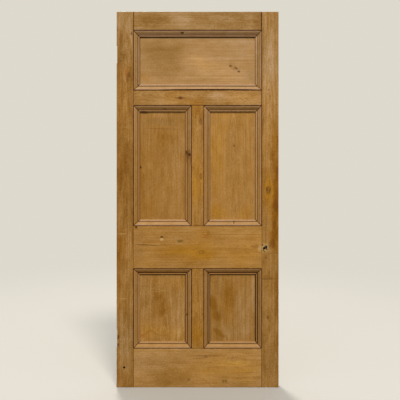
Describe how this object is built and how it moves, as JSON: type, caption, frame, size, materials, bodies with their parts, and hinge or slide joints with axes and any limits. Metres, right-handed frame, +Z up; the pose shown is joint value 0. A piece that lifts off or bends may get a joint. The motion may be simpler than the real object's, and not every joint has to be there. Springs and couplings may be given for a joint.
{
  "type": "panelled front door",
  "caption": "Panelled pine door leaf with mitred panel mouldings, wedged through tenons, a spindle hole and hinge recesses.",
  "frame": {"origin": "middle of the bottom edge of the leaf", "axes": "+X across the leaf from the hanging stile to the lock stile, -Y out of the front face, +Z up"},
  "size_m": [0.914, 0.044, 2.12],
  "materials": {
    "frame_pine": "stripped pine, waxed to a low sheen",
    "panel_pine": "stripped pine, waxed to a low sheen",
    "moulding_pine": "stripped pine with dark wax in the quirks",
    "wedge_pine": "pine end grain, waxed"
  },
  "bodies": {
    "root": {"back_lower_left_mould_bottom": "moulding_pine", "back_lower_left_mould_left": "moulding_pine", "back_lower_left_mould_right": "moulding_pine", "back_lower_left_mould_top": "moulding_pine", "back_lower_right_mould_bottom": "moulding_pine", "back_lower_right_mould_left": "moulding_pine", "back_lower_right_mould_right": "moulding_pine", "back_lower_right_mould_top": "moulding_pine", "back_middle_left_mould_bottom": "moulding_pine", "back_middle_left_mould_left": "moulding_pine", "back_middle_left_mould_right": "moulding_pine", "back_middle_left_mould_top": "moulding_pine", "back_middle_right_mould_bottom": "moulding_pine", "back_middle_right_mould_left": "moulding_pine", "back_middle_right_mould_right": "moulding_pine", "back_middle_right_mould_top": "moulding_pine", "back_top_mould_bottom": "moulding_pine", "back_top_mould_left": "moulding_pine", "back_top_mould_right": "moulding_pine", "back_top_mould_top": "moulding_pine", "bottom_rail": "frame_pine", "bottom_rail_wedges": "wedge_pine", "frieze_rail": "frame_pine", "frieze_rail_wedges": "wedge_pine", "front_lower_left_mould_bottom": "moulding_pine", "front_lower_left_mould_left": "moulding_pine", "front_lower_left_mould_right": "moulding_pine", "front_lower_left_mould_top": "moulding_pine", "front_lower_right_mould_bottom": "moulding_pine", "front_lower_right_mould_left": "moulding_pine", "front_lower_right_mould_right": "moulding_pine", "front_lower_right_mould_top": "moulding_pine", "front_middle_left_mould_bottom": "moulding_pine", "front_middle_left_mould_left": "moulding_pine", "front_middle_left_mould_right": "moulding_pine", "front_middle_left_mould_top": "moulding_pine", "front_middle_right_mould_bottom": "moulding_pine", "front_middle_right_mould_left": "moulding_pine", "front_middle_right_mould_right": "moulding_pine", "front_middle_right_mould_top": "moulding_pine", "front_top_mould_bottom": "moulding_pine", "front_top_mould_left": "moulding_pine", "front_top_mould_right": "moulding_pine", "front_top_mould_top": "moulding_pine", "hanging_stile": "frame_pine", "lock_rail": "frame_pine", "lock_rail_wedges": "wedge_pine", "lock_stile": "frame_pine", "lower_left_panel": "panel_pine", "lower_muntin": "frame_pine", "lower_right_panel": "panel_pine", "middle_left_panel": "panel_pine", "middle_muntin": "frame_pine", "middle_right_panel": "panel_pine", "top_panel": "panel_pine", "top_rail": "frame_pine", "top_rail_wedges": "wedge_pine"}
  },
  "joints": []
}
